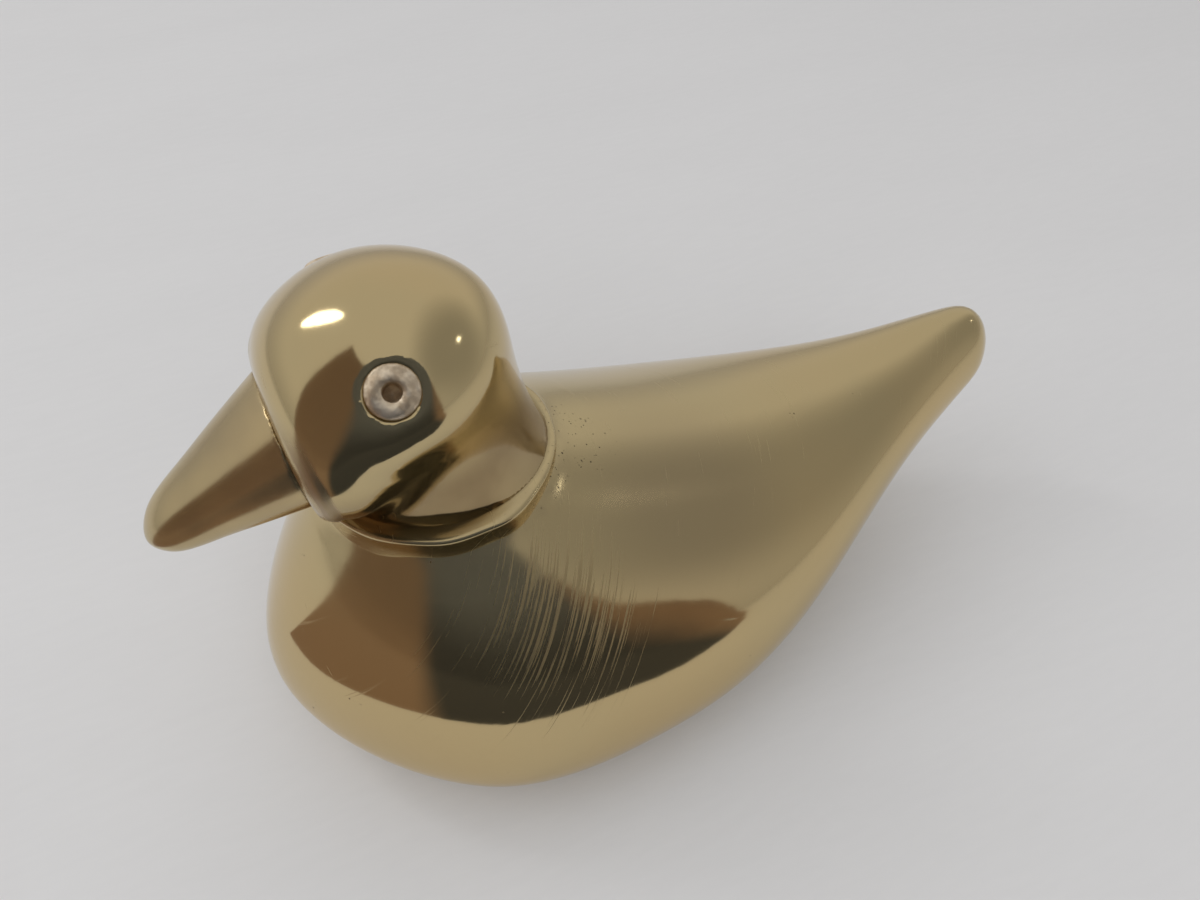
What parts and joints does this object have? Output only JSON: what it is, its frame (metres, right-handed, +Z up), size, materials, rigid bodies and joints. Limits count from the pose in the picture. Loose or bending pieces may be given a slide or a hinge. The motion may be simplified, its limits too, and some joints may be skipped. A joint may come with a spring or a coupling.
{
  "type": "duck figurine",
  "caption": "Polished cast duck ornament with an upturned tail, a head bolted on through the neck, a tapered bill and ring eyes, hollow from below.",
  "frame": {"origin": "On the base plane, under the middle of the overall box.", "axes": "+X from the bill to the tail, +Z up, +Y to the duck's right side. The bill points to -X and the duck's left side faces -Y."},
  "size_m": [0.118, 0.06, 0.0661],
  "materials": {
    "body_brass": "polished casting, satin on the back, fine scratches on the flanks",
    "head_brass": "mirror polished casting",
    "bill_brass": "polished, drawn lengthwise",
    "eye_metal": "worn turned ring, lightly hammered",
    "fixing_steel": "plain zinc plated"
  },
  "bodies": {
    "root": {"body": "body_brass", "head": "head_brass", "bill": "bill_brass", "left_eye": "eye_metal", "right_eye": "eye_metal", "neck_stud": "fixing_steel", "neck_washer": "fixing_steel", "neck_nut": "fixing_steel"}
  },
  "joints": []
}
